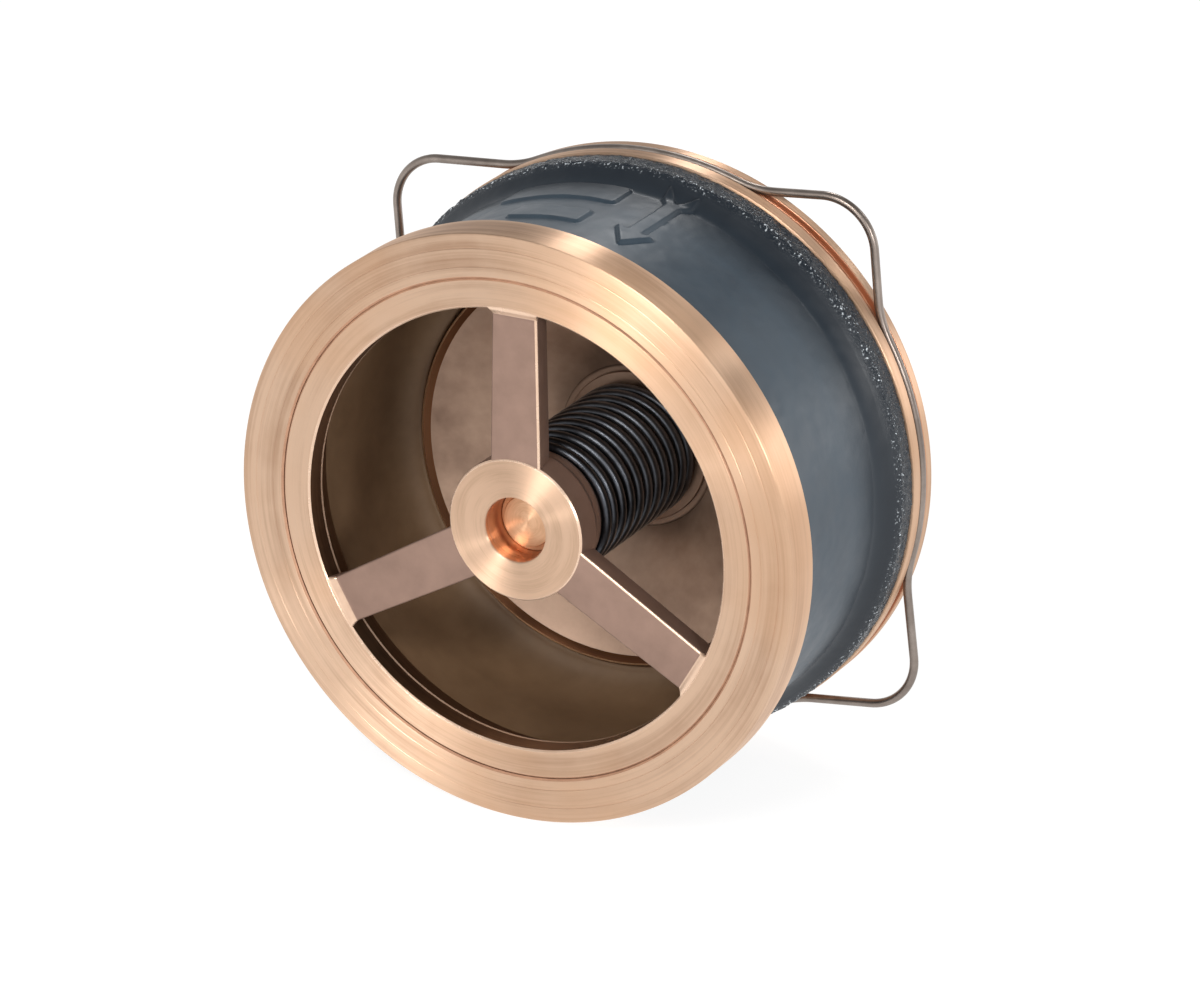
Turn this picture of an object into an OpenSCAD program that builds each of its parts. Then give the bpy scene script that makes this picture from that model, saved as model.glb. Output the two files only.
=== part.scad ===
// Wafer check valve: a spring-closed disc in a short round body that is clamped
// between two pipe flanges. The flow axis lies along Y. The inlet face is at
// y = 0 and the outlet face at y = -face_to_face; water flows towards -Y.
// Axial sizes below are distances from the inlet face towards the outlet.

/* [Which part] */
// Sub-part to build, or all of them

/* [Body] */
// Outside diameter of both bronze rings, inside the flange bolts
ring_od = 273; // [200:1:350]
// Distance between the two sealing faces
face_to_face = 140; // [110:1:200]
// Width of the bare inlet ring on the outside
inlet_ring_w = 18.5; // [14:0.5:26]
// Width of the bare outlet ring on the outside
outlet_ring_w = 20; // [14:0.5:26]
// Outside radius of the painted waist
waist_r = 127.5; // [100:0.5:160]
// Height of the rough cast bead next to the inlet ring, above the waist
bead_h = 8.5; // [3:0.5:10]
// Inside radius of the cavity
cavity_r = 114; // [90:0.5:140]

/* [Inlet ring and seat] */
// Bore radius at the inlet face
inlet_bore_r = 100; // [70:0.5:115]
// Bore radius at the seat
seat_bore_r = 88; // [60:0.5:100]
// Distance of the seat from the inlet face
seat_s = 43; // [34:0.5:60]
// Width of the groove for the centring wire
groove_w = 6; // [4.8:0.1:8]

/* [Outlet ring and guide] */
// Radius of the joint between the outlet ring and the guide
guide_rim_r = 116; // [90:0.5:140]
// Bore radius inside the guide rim
outlet_bore_r = 102.5; // [75:0.5:115]
// Depth of the guide rim along the flow
guide_rim_w = 12; // [8:0.5:18]
// Arm width at the hub
arm_w_hub = 25; // [16:0.5:36]
// Arm width at the rim
arm_w_rim = 22.4; // [14:0.2:34]
// Arm depth along the flow
arm_depth = 13.5; // [10:0.5:30]
// Radius of the hub face
hub_r = 33; // [28:0.5:45]
// Length of the thick part of the hub, from its face to the spring
hub_len = 25; // [20:0.5:32]

/* [Disc and stem] */
// Outside radius of the disc
disc_r = 96; // [75:0.5:108]
// Thickness of the disc rim
disc_t = 7; // [5:0.5:10]
// Depth of the dish, from the rim to the middle plate
dish_depth = 29; // [18:0.5:36]
// Travel of the disc from shut to fully open
lift = 22; // [10:0.5:24]
// Radius of the guided stem
stem_r = 14.85; // [10:0.05:18]
// Distance from the stem end to the outlet face
stem_recess = 14; // [8:0.5:30]

/* [Spring] */
// Wire diameter of the closing spring
spring_wire_d = 4.8; // [4:0.1:5.6]
// Outside radius of the closing spring
spring_r = 32; // [31.4:0.1:34]
// Number of turns of the closing spring
spring_turns = 11; // [8:0.5:12]

/* [Centring wire] */
// Wire diameter of the centring ring
ear_wire_d = 4; // [3:0.1:4.4]
// How far each ear stands out past the rings, to the middle of the wire
ear_stand = 26.5; // [14:0.5:50]
// Radius of the bend at the tip of each ear
ear_bend_r = 24; // [16:0.5:28]

/* [Hidden] */
// Directions of the four ears, in degrees from +X towards +Z
ear_angles = [50.5, 139.6, 230, 322];
// How much further each ear reaches than the set reach: the wire is bent by hand
ear_extra = [-3, 1.5, 0, 0];
// Direction of the split in the wire, out of sight at the underside
split_a = 270;
// Half the angle of the split
split_half = 7;
// Directions of the three arms
arm_angles = [90, 210, 330];
ring_r = ring_od / 2;
// Clearance of the stem in its bush, on the radius
run_gap = 0.05;
// Gap left between the shut disc and its seat
seat_gap = 0.05;
// Clearance of the wire above the bottom of its groove
wire_gap = 0.3;
// Clearance of the spring over its two pilots, on the radius
pilot_gap = 0.6;
// Gap at each end of the spring
spring_end_gap = 0.05;
// Small broken edge on turned parts
edge = 0.8;
// Depth of the V where the guide meets the outlet ring
joint_v = 0.7;

// Outlet end positions
outlet_s = face_to_face;
outlet_ring_s = outlet_s - outlet_ring_w;
guide_front_s = outlet_s - 0.5;
guide_back_s = guide_front_s - guide_rim_w;
spigot_len = 10;
spigot_r = cavity_r + 4;
spigot_in_r = cavity_r - 3;
gasket_t = 1.5;

// Hub positions
hub_face_s = outlet_s - 2.5;
hub_back_s = hub_face_s - hub_len;
pilot_r = spring_r - spring_wire_d - pilot_gap;
pilot_len = 18;
pilot_end_s = hub_back_s - pilot_len;
lip_len = 3.5;
bush_r = 19;
arm_face_s = outlet_s - 3;

// Disc positions
disc_under_s = seat_s + seat_gap;
disc_top_s = disc_under_s + disc_t;
plate_t = 8;
plate_under_s = disc_under_s - dish_depth;
plate_top_s = plate_under_s + plate_t;
plate_r = 38;
spigot_stem_r = 8;
spring_plate_t = 2;
spring_plate_r = 35.5;
stem_shoulder_s = plate_top_s + spring_plate_t;
stem_end_s = outlet_s - stem_recess;
stem_nose_r = 12;
stem_nose = 3.5;
nut_t = 7;
nut_af = 24;

// Spring positions
spring_low_s = stem_shoulder_s + spring_end_gap;
spring_high_s = hub_back_s - spring_end_gap;

// Centring wire positions
wire_s = 8.6;
wire_rc = ring_r - 1;
ear_tip_r = ring_r + ear_stand;
groove_r = wire_rc - ear_wire_d / 2 - wire_gap;

// Seat ring positions
seat_spigot_r = cavity_r - 4;
seat_land = 9;
seat_nose_r = seat_bore_r + 9.5;
seat_nose = 9;

// Rounded end of the cavity, from its floor round the seat up to its wall
floor_s = seat_s + 4;
floor_r = seat_nose_r + 1;
corner_s = 30;
corner_steps = 8;

$fn = 96;

// Turns a profile of [radius, distance from the inlet face] about the flow axis
module turned() {
  rotate([90, 0, 0])
    rotate_extrude()
      children();
}

// Places a shape that is drawn along +X of the XZ plane in direction a
module around(a) {
  rotate([0, -a, 0])
    children();
}

// A bar along X, from x0 to x1, whose half widths are w0 and w1, spanning s0 to s1
module plan_bar(x0, x1, w0, w1, s0, s1) {
  translate([0, -s0, 0])
    rotate([90, 0, 0])
      linear_extrude(height = s1 - s0)
        polygon([[x0, -w0], [x1, -w1], [x1, w1], [x0, w0]]);
}

// Flow arrow in its own plane: x across, y towards the outlet
module arrow_shape() {
  polygon([
    [0, 30], [9, 15], [3.8, 15], [3.8, -21], [7, -25], [7, -31],
    [0, -24], [-7, -31], [-7, -25], [-3.8, -21], [-3.8, 15], [-9, 15]
  ]);
}

// Smooth step from 0 to 1
function ease(t) = (1 - cos(180 * t)) / 2;

// Outside of the casting from the inlet end to the outlet end
flare_s = 10;
flare_steps = 7;
taper_s = 12;
taper_steps = 4;
bead_r = waist_r + bead_h;
bead_end_s = inlet_ring_w + 10;
waist_out = concat(
  [[bead_r - 1.2, inlet_ring_w], [bead_r, inlet_ring_w + 1.6], [bead_r, bead_end_s]],
  [for (i = [1 : flare_steps]) [
    bead_r - bead_h * ease(i / flare_steps),
    bead_end_s + flare_s * i / flare_steps
  ]],
  [for (i = [0 : taper_steps]) [
    waist_r + 0.4 - 2.6 * (1 - cos(90 * i / taper_steps)),
    outlet_ring_s - taper_s + taper_s * i / taper_steps
  ]]
);

module casting_shell() {
  turned()
    polygon(concat(
      waist_out,
      [
        [spigot_r, outlet_ring_s],
        [spigot_r, outlet_ring_s - spigot_len - gasket_t],
        [cavity_r, outlet_ring_s - spigot_len - gasket_t]
      ],
      [for (i = [0 : corner_steps]) [
        floor_r + (cavity_r - floor_r) * cos(90 * i / corner_steps),
        floor_s + corner_s * (1 - sin(90 * i / corner_steps))
      ]],
      [
        [seat_nose_r + 0.3, floor_s - 0.7],
        [seat_nose_r + 0.3, seat_s - seat_nose + 1],
        [seat_spigot_r, seat_s - seat_nose + 1],
        [seat_spigot_r, inlet_ring_w + gasket_t],
        [cavity_r + 10, inlet_ring_w + gasket_t],
        [cavity_r + 10, inlet_ring_w]
      ]
    ));
}

// A raised shape on the waist: drawn flat, cut to a thin shell round the waist
module raised_on_waist(a, s_mid, h) {
  intersection() {
    around(a)
      translate([0, -s_mid, 0])
        rotate([0, 90, 0])
          rotate([0, 0, 180])
            linear_extrude(height = waist_r + 20)
              children();
    turned()
      polygon([
        [waist_r - 6, bead_end_s], [waist_r + h, bead_end_s],
        [waist_r + h, outlet_ring_s - 2], [waist_r - 6, outlet_ring_s - 2]
      ]);
  }
}

// Cast-iron middle of the body, painted, with the flow arrow and two blank raised strips
module body_casting() {
  color([0.33, 0.38, 0.42])
    union() {
      casting_shell();
      raised_on_waist(77, 65, 1.6)
        arrow_shape();
      raised_on_waist(100, 49, 1.3)
        square([58, 19], center = true);
      raised_on_waist(96, 80, 1.3)
        square([36, 16], center = true);
    }
}

// Bronze inlet ring with the seat on its inner end and the wire groove outside
module seat_ring() {
  color([0.84, 0.66, 0.50])
    turned()
      polygon([
        [inlet_bore_r, 0],
        [ring_r - edge, 0],
        [ring_r, edge],
        [ring_r, wire_s - groove_w / 2],
        [groove_r, wire_s - groove_w / 2],
        [groove_r, wire_s + groove_w / 2],
        [ring_r, wire_s + groove_w / 2],
        [ring_r, inlet_ring_w - edge / 2],
        [ring_r - edge / 2, inlet_ring_w],
        [seat_spigot_r, inlet_ring_w],
        [seat_spigot_r, seat_s - seat_nose],
        [seat_nose_r, seat_s - seat_nose],
        [seat_nose_r, seat_s - 0.5],
        [seat_bore_r + seat_land, seat_s],
        [seat_bore_r, seat_s],
        [seat_bore_r, seat_s - 6],
        [inlet_bore_r, 6]
      ]);
}

// Flat gasket in the inlet end of the casting
module seat_ring_gasket() {
  color([0.16, 0.16, 0.17])
    turned()
      polygon([
        [seat_spigot_r, inlet_ring_w],
        [cavity_r + 10, inlet_ring_w],
        [cavity_r + 10, inlet_ring_w + gasket_t],
        [seat_spigot_r, inlet_ring_w + gasket_t]
      ]);
}

// Bronze outlet ring that holds the guide
module outlet_ring() {
  color([0.84, 0.66, 0.50])
    turned()
      polygon([
        [guide_rim_r, guide_back_s],
        [guide_rim_r, outlet_s - joint_v],
        [guide_rim_r + joint_v, outlet_s],
        [ring_r - edge, outlet_s],
        [ring_r, outlet_s - edge],
        [ring_r, outlet_ring_s + edge / 2],
        [ring_r - edge / 2, outlet_ring_s],
        [spigot_r, outlet_ring_s],
        [spigot_r, outlet_ring_s - spigot_len],
        [spigot_in_r, outlet_ring_s - spigot_len],
        [spigot_in_r, guide_back_s]
      ]);
}

// Flat gasket behind the spigot of the outlet ring
module outlet_ring_gasket() {
  color([0.16, 0.16, 0.17])
    turned()
      polygon([
        [cavity_r, outlet_ring_s - spigot_len - gasket_t],
        [spigot_r, outlet_ring_s - spigot_len - gasket_t],
        [spigot_r, outlet_ring_s - spigot_len],
        [cavity_r, outlet_ring_s - spigot_len]
      ]);
}

// One arm, with sides that draw in towards the back
module arm(a) {
  around(a) {
    intersection() {
      plan_bar(hub_r - 6, outlet_bore_r + 3, arm_w_hub / 2, arm_w_rim / 2,
        arm_face_s - arm_depth, arm_face_s);
      rotate([90, 0, 90])
        linear_extrude(height = outlet_bore_r + 10)
          polygon([
            [-arm_face_s, -arm_w_hub / 2],
            [-arm_face_s, arm_w_hub / 2],
            [-arm_face_s + arm_depth, arm_w_hub / 2 - 2.2],
            [-arm_face_s + arm_depth, -arm_w_hub / 2 + 2.2]
          ]);
      turned()
        polygon([
          [hub_r - 8, arm_face_s - arm_depth - 1], [outlet_bore_r - 0.8, arm_face_s - arm_depth - 1],
          [outlet_bore_r - 0.8, guide_back_s], [outlet_bore_r + 1, guide_back_s],
          [outlet_bore_r + 1, arm_face_s + 1], [hub_r - 8, arm_face_s + 1]
        ]);
    }
    // sloped web from the arm face up to the rim
    translate([0, 0, -arm_w_rim / 2 + 0.4])
      linear_extrude(height = arm_w_rim - 0.8)
        polygon([
          [outlet_bore_r - 3.4, -arm_face_s + 1], [outlet_bore_r - 3.4, -arm_face_s],
          [outlet_bore_r - 0.6, -guide_front_s + 0.6], [outlet_bore_r + 1, -guide_front_s + 0.6],
          [outlet_bore_r + 1, -arm_face_s + 1]
        ]);
  }
}

// Bronze guide: rim, three arms and the hub that guides the stem
module guide_spider() {
  color([0.68, 0.54, 0.45])
    union() {
      turned()
        polygon([
          [outlet_bore_r, guide_back_s],
          [guide_rim_r, guide_back_s],
          [guide_rim_r, guide_front_s - joint_v],
          [guide_rim_r - joint_v, guide_front_s],
          [outlet_bore_r + edge, guide_front_s],
          [outlet_bore_r, guide_front_s - edge]
        ]);
      turned()
        polygon([
          [stem_r + run_gap, hub_face_s - edge],
          [stem_r + run_gap + edge, hub_face_s],
          [hub_r - 1, hub_face_s],
          [hub_r, hub_face_s - 1],
          [hub_r, arm_face_s - arm_depth],
          [hub_r - 2.5, arm_face_s - arm_depth - 5],
          [spring_r - 2, hub_back_s + 2],
          [spring_r - 2.5, hub_back_s],
          [pilot_r, hub_back_s],
          [pilot_r, pilot_end_s + 1],
          [pilot_r - 1, pilot_end_s],
          [bush_r, pilot_end_s],
          [bush_r, hub_face_s - lip_len],
          [stem_r + run_gap, hub_face_s - lip_len]
        ]);
      for (a = arm_angles)
        arm(a);
    }
}

// Copper-alloy bush pressed into the hub
module guide_bush() {
  color([0.75, 0.45, 0.30])
    turned()
      polygon([
        [stem_r + run_gap, pilot_end_s],
        [bush_r, pilot_end_s],
        [bush_r, hub_face_s - lip_len],
        [stem_r + run_gap, hub_face_s - lip_len]
      ]);
}

// Bronze disc, dished towards the inlet
module disc() {
  color([0.55, 0.44, 0.37])
    turned()
      polygon([
        [spigot_stem_r + run_gap, plate_under_s],
        [plate_r - 2, plate_under_s],
        [plate_r, plate_under_s + 0.5],
        [seat_bore_r - 2, disc_under_s - 3.5],
        [seat_bore_r - 1.5, disc_under_s],
        [disc_r - edge, disc_under_s],
        [disc_r, disc_under_s + edge],
        [disc_r, disc_top_s - edge],
        [disc_r - edge, disc_top_s],
        [disc_r - 2, disc_top_s],
        [disc_r - 5, disc_top_s - 2.8],
        [plate_r, plate_top_s + 1],
        [plate_r - 1, plate_top_s],
        [spigot_stem_r + run_gap, plate_top_s]
      ]);
}

// Turned stem with a stepped nose, a shoulder, a threaded end and a centre mark
module stem() {
  color([0.80, 0.62, 0.46])
    turned()
      polygon([
        [0, stem_end_s - 1.4],
        [1.4, stem_end_s],
        [stem_nose_r - 0.5, stem_end_s],
        [stem_nose_r, stem_end_s - 0.5],
        [stem_nose_r, stem_end_s - stem_nose],
        [stem_r - 0.6, stem_end_s - stem_nose],
        [stem_r, stem_end_s - stem_nose - 0.6],
        [stem_r, stem_shoulder_s],
        [spigot_stem_r, stem_shoulder_s],
        [spigot_stem_r, plate_under_s - nut_t],
        [spigot_stem_r - 1, plate_under_s - nut_t - 1],
        [0, plate_under_s - nut_t - 1]
      ]);
}

// Lock nut on the inlet side of the disc
module stem_nut() {
  color([0.62, 0.63, 0.64])
    difference() {
      translate([0, -plate_under_s, 0])
        rotate([-90, 0, 0])
          cylinder(h = nut_t, r = nut_af / 2 / cos(30), $fn = 6);
      translate([0, -plate_under_s - 1, 0])
        rotate([-90, 0, 0])
          cylinder(h = nut_t + 2, r = spigot_stem_r);
    }
}

// Flat bronze plate under the spring, with a collar that centres it
module spring_plate() {
  color([0.52, 0.42, 0.35])
    turned()
      polygon([
        [spigot_stem_r + run_gap, plate_top_s],
        [spring_plate_r, plate_top_s],
        [spring_plate_r, stem_shoulder_s - 0.5],
        [spring_plate_r - 0.5, stem_shoulder_s],
        [pilot_r, stem_shoulder_s],
        [pilot_r, stem_shoulder_s + 5],
        [stem_r + 1, stem_shoulder_s + 5],
        [stem_r + 1, stem_shoulder_s],
        [spigot_stem_r + run_gap, stem_shoulder_s]
      ]);
}

// Skin of a wire: rings of points joined side to side, closed at both ends
module wire_skin(rings, sides) {
  n = len(rings);
  pts = [for (r = rings) for (p = r) p];
  walls = [for (i = [0 : n - 2]) for (j = [0 : sides - 1]) for (k = [0, 1])
    let (
      a = i * sides + j,
      b = i * sides + (j + 1) % sides,
      c = a + sides,
      d = b + sides
    )
    k == 0 ? [a, b, d] : [a, d, c]
  ];
  cap0 = [[for (j = [sides - 1 : -1 : 0]) j]];
  cap1 = [[for (j = [0 : sides - 1]) (n - 1) * sides + j]];
  polyhedron(points = pts, faces = concat(walls, cap0, cap1), convexity = 6);
}

// Middle line of the spring: closed end turns and even turns between them
spring_steps = 20;
spring_rc = spring_r - spring_wire_d / 2;
spring_span = spring_high_s - spring_low_s - spring_wire_d;
end_pitch = spring_wire_d + 0.1;
mid_pitch = (spring_span - 2 * end_pitch) / (spring_turns - 2);
function coil_s(t) =
  t < 1 ? end_pitch * t
  : t > spring_turns - 1 ? spring_span - end_pitch * (spring_turns - t)
  : end_pitch + mid_pitch * (t - 1);

// Closing spring, round a helix on the flow axis
module spring() {
  sides = 8;
  rw = spring_wire_d / 2;
  steps = spring_turns * spring_steps;
  rings = [for (i = [0 : steps])
    let (
      t = i / spring_steps,
      a = 360 * t,
      s = spring_low_s + rw + coil_s(t)
    )
    [for (j = [0 : sides - 1])
      let (
        b = 360 * j / sides,
        r = spring_rc + rw * cos(b)
      )
      [r * cos(a), -(s + rw * sin(b)), r * sin(a)]
    ]
  ];
  color([0.24, 0.24, 0.25])
    wire_skin(rings, sides);
}

// Where the foot of an ear of reach e starts: x, y and direction of its fillet centre
fillet_r = 50;
function foot_x(e) =
  let (
    q = (e + ear_bend_r * (sqrt(2) - 1)) + fillet_r * sqrt(2),
    d = wire_rc + fillet_r
  )
  (q + sqrt(2 * d * d - q * q)) / 2;
function foot_y(e) = foot_x(e) - (e + ear_bend_r * (sqrt(2) - 1)) - fillet_r * sqrt(2);
function foot_a(e) = atan2(foot_y(e), foot_x(e));

// One half of an ear, from the groove circle to the tip, along +X
function half_ear(e) = concat(
  [for (i = [0 : 5])
    let (a = 180 + foot_a(e) + (135 - 180 - foot_a(e)) * i / 5)
    [foot_x(e) + fillet_r * cos(a), foot_y(e) + fillet_r * sin(a)]
  ],
  [for (i = [0 : 5])
    let (a = -45 + 45 * i / 5)
    [e - ear_bend_r + ear_bend_r * cos(a), ear_bend_r * sin(a)]
  ]
);
function full_ear(e) = concat(
  half_ear(e),
  [for (i = [10 : -1 : 0]) [half_ear(e)[i][0], -half_ear(e)[i][1]]]
);
function turn2(p, a) = [p[0] * cos(a) - p[1] * sin(a), p[0] * sin(a) + p[1] * cos(a)];
function arc_pts(a0, a1) =
  let (n = max(2, ceil((a1 - a0) / 5)))
  [for (i = [1 : n - 1]) let (a = a0 + (a1 - a0) * i / n) [wire_rc * cos(a), wire_rc * sin(a)]];
ear_order = [ear_angles[3], ear_angles[0] + 360, ear_angles[1] + 360, ear_angles[2] + 360];
ear_reach = [for (k = [3, 0, 1, 2]) ear_tip_r + ear_extra[k]];
wire_path = concat(
  [turn2([wire_rc, 0], split_a + split_half)],
  arc_pts(split_a + split_half, ear_order[0] + foot_a(ear_reach[0])),
  [for (k = [0 : 3]) for (p = concat(
    [for (q = full_ear(ear_reach[k])) turn2(q, ear_order[k])],
    k < 3
      ? arc_pts(ear_order[k] - foot_a(ear_reach[k]), ear_order[k + 1] + foot_a(ear_reach[k + 1]))
      : []
  )) p],
  arc_pts(ear_order[3] - foot_a(ear_reach[3]), split_a + 360 - split_half),
  [turn2([wire_rc, 0], split_a - split_half)]
);

// Spring-wire ring with four ears that bear on the flange bolts
module centring_wire() {
  sides = 10;
  rw = ear_wire_d / 2;
  n = len(wire_path);
  rings = [for (i = [0 : n - 1])
    let (
      p = wire_path[i],
      q0 = wire_path[max(i - 1, 0)],
      q1 = wire_path[min(i + 1, n - 1)],
      l = norm(q1 - q0),
      t = (q1 - q0) / l
    )
    [for (j = [0 : sides - 1])
      let (
        b = 360 * j / sides,
        u = rw * cos(b)
      )
      [p[0] + t[1] * u, -(wire_s + rw * sin(b)), p[1] - t[0] * u]
    ]
  ];
  color([0.50, 0.46, 0.43])
    wire_skin(rings, sides);
}

body_casting();
seat_ring();
seat_ring_gasket();
outlet_ring();
outlet_ring_gasket();
guide_spider();
guide_bush();
disc();
stem();
stem_nut();
spring_plate();
spring();
centring_wire();
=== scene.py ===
"""Wafer check valve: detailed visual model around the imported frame.

Lengths are in mm until they become mesh points. In a profile, r is the distance from the flow axis and s the
distance from the inlet face, so a point lies at y = -s.
"""

import math

import bmesh
import bpy
import numpy as np
from mathutils import Matrix, Vector, noise


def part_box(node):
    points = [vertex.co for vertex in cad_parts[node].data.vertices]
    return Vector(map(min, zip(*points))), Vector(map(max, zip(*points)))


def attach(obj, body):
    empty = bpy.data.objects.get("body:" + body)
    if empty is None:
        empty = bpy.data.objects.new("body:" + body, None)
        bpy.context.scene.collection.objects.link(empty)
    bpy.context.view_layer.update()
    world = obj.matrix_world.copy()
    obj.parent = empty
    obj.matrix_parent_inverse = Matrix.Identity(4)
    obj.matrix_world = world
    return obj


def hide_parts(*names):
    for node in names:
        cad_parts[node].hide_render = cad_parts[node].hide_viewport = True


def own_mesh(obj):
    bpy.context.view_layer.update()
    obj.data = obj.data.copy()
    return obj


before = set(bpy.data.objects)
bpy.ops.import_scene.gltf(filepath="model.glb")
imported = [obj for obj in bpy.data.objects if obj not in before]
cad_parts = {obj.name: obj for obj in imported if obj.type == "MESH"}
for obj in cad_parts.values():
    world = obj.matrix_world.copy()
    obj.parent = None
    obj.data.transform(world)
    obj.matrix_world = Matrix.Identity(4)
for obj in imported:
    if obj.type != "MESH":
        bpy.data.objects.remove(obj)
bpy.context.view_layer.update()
MM = 0.001

# ---------------------------------------------------------------- sizes, in mm
RING_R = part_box("outlet_ring")[1].x / MM
LENGTH = -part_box("outlet_ring")[0].y / MM
FIT = 0.05  # clearance of the stem in its bush, and at the seat and the spring's ends
SMALL_CHAMFER = 0.9

# casting and rings
INLET_W = 18.5
OUTLET_W = 20.0
OUTLET_S = LENGTH - OUTLET_W
INLET_R = 100.0
WAIST_R = 127.5
BEAD_R = 136.0
BEAD_END = INLET_W + 10.0
BEAD_FILLET = 13.0
LIP = 12.0
CAVITY_R = 114.0
SEAL_R = CAVITY_R + 10.0
SEAL_END = INLET_W + 1.5
SPIGOT_R = 110.0
RECESS_R = SPIGOT_R + 8
RECESS_END = OUTLET_S - 11.5
SPIGOT_END = OUTLET_S - 10
SPIGOT_BORE_R = CAVITY_R - 3
SEAT_S = 43.0
SEAT_R = 88
NOSE_R = 97.5
FLOOR_R = 98.5
FLOOR_S = SEAT_S + 4.0
CORNER_S = 30.0
CORNER_STEPS = 16

# guide, bush and hub
GUIDE_R = 116.0
BORE_R = 102.5
GUIDE_FRONT = LENGTH - 0.5
GUIDE_BACK = GUIDE_FRONT - 12.0
HUB_R = 33.0
HUB_FACE = LENGTH - 2.5
HUB_BACK = HUB_FACE - 25.0
PILOT_R = 26.6
PILOT_END = HUB_BACK - 18.0
BUSH_R = 19.0
BUSH_END = HUB_FACE - 3.5
ARM_ANGLES = (90, 210, 330)
ARM_FACE = LENGTH - 3.0
ARM_BACK = ARM_FACE - 13.5

# disc, stem, plate and nut
STEM_R = 14.85
STEM_END = LENGTH - 14.0
THREAD_R = 8
DISC_R = 96.0
DISC_UNDER = SEAT_S + 0.05
DISC_TOP = SEAT_S + 7.05
DISC_HOLE_R = 8.05
PLATE_R = 35.5
PLATE_UNDER = SEAT_S + 0.05 - 29.0
PLATE_TOP = PLATE_UNDER + 8.0
SHOULDER = PLATE_TOP + 2.0
NUT_FLATS, NUT_H = 24.0, 7.0

# spring
SPRING_R = 32.0
SPRING_WIRE = 4.8
SPRING_TURNS = 11.0
SPRING_PHASE = 150

# centring wire
WIRE_S = 8.6
WIRE_R = RING_R - 1.0
WIRE_HALF = 2.0
GROOVE_R = WIRE_R - 2.0 - 0.3
GROOVE_HALF = 3
EARS = (50.5, 139.6, 230.0, 322.0)
REACH = (160.0, 164.5, 163.0, 163.0)
EAR_BEND, EAR_FOOT = 24.0, 50.0
SPLIT_A = 270.0
SPLIT_HALF = 7.0


# ---------------------------------------------------------------- mesh helpers
def add_object(name, data):
    ob = bpy.data.objects.new(name, data)
    bpy.context.scene.collection.objects.link(ob)
    return ob


def finish_mesh(name, verts, faces, body, mats, face_mats, sharp, replaces):
    """A smooth mesh object that rides a body and stands in for the nodes in replaces."""
    me = bpy.data.meshes.new(name)
    me.from_pydata(verts, [], faces)
    for m in mats:
        me.materials.append(m)
    me.polygons.foreach_set("material_index", np.asarray(face_mats, np.int32))
    bm = bmesh.new()
    bm.from_mesh(me)
    bmesh.ops.recalc_face_normals(bm, faces=bm.faces)
    bm.to_mesh(me)
    bm.free()
    me.shade_smooth()
    me.set_sharp_from_angle(angle=math.radians(sharp))
    ob = add_object(name, me)
    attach(ob, body)
    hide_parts(*replaces)
    return ob


def rounded(points, steps=4):
    """Rounds the corners of a closed profile of (r, s, fillet radius[, tag]). Returns [(r, s, tag)]."""
    out = []
    n = len(points)
    for i in range(n):
        p = np.array(points[i][:2], float)
        q = np.array(points[i - 1][:2], float)
        t = np.array(points[(i + 1) % n][:2], float)
        rad = points[i][2]
        tag = points[i][3] if len(points[i]) > 3 else 0
        a, b = q - p, t - p
        la, lb = np.linalg.norm(a), np.linalg.norm(b)
        if rad <= 0 or la < 1e-6 or lb < 1e-6:
            out.append((p[0], p[1], tag))
            continue
        a, b = a / la, b / lb
        ang = math.acos(max(-1, min(1, float(a @ b))))
        if ang > math.radians(176):
            out.append((p[0], p[1], tag))
            continue
        d = min(rad / math.tan(ang / 2), 0.45 * la, 0.45 * lb)
        rr = d * math.tan(ang / 2)
        bis = (a + b) / np.linalg.norm(a + b)
        c = p + bis * rr / math.sin(ang / 2)
        v0, v1 = p + a * d - c, p + b * d - c
        t0, t1 = math.atan2(v0[1], v0[0]), math.atan2(v1[1], v1[0])
        dt = (t1 - t0 + math.pi) % (2 * math.pi) - math.pi
        for k in range(steps + 1):
            u = t0 + dt * k / steps
            out.append((c[0] + rr * math.cos(u), c[1] + rr * math.sin(u), tag))
    return out


def lathe_data(profile, segs, closed=True):
    """Vertices, faces and tags of a profile [(r, s, tag)] turned about the flow axis."""
    pr = np.array([p[0] for p in profile])
    ps = np.array([p[1] for p in profile])
    a = np.arange(segs) * 2 * math.pi / segs
    x = np.outer(pr, np.cos(a)) * MM
    z = np.outer(pr, np.sin(a)) * MM
    y = np.repeat(-ps[:, None] * MM, segs, 1)
    verts = np.stack([x, y, z], -1).reshape(-1, 3).tolist()
    n = len(profile)
    faces, tags = [], []
    for i in range(n if closed else n - 1):
        here, there = i * segs, (i + 1) % n * segs
        for k in range(segs):
            m = (k + 1) % segs
            faces.append((here + k, here + m, there + m, there + k))
            tags.append(profile[i][2])
    return verts, faces, tags


def lathe(name, profile, body, mats, segs, replaces, steps=4):
    """A ring of revolution from a closed profile."""
    verts, faces, tags = lathe_data(rounded(profile, steps), segs)
    return finish_mesh(name, verts, faces, body, mats, tags, 32.0, replaces)


def cap_lathe(name, profile, body, mats, segs, replaces):
    """A solid of revolution: the open profile starts and ends on the axis."""
    full = [(0.0, profile[0][1], 0.0)] + list(profile) + [(0.0, profile[-1][1], 0.0)]
    pts = [p for p in rounded(full) if p[0] > 1e-6]
    verts, faces, tags = lathe_data(pts, segs, closed=False)
    for row, s in ((0, full[0][1]), (len(pts) - 1, full[-1][1])):
        c = len(verts)
        verts.append([0.0, -s * MM, 0.0])
        for k in range(segs):
            faces.append((row * segs + k, row * segs + (k + 1) % segs, c))
            tags.append(pts[row][2])
    return finish_mesh(name, verts, faces, body, mats, tags, 32.0, replaces)


def merge(parts):
    """Joins [(verts, faces, tags)] lists into one."""
    verts, faces, tags = [], [], []
    for v, f, t in parts:
        base = len(verts)
        verts.extend(v)
        faces.extend([tuple(i + base for i in q) for q in f])
        tags.extend(t)
    return verts, faces, tags


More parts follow.
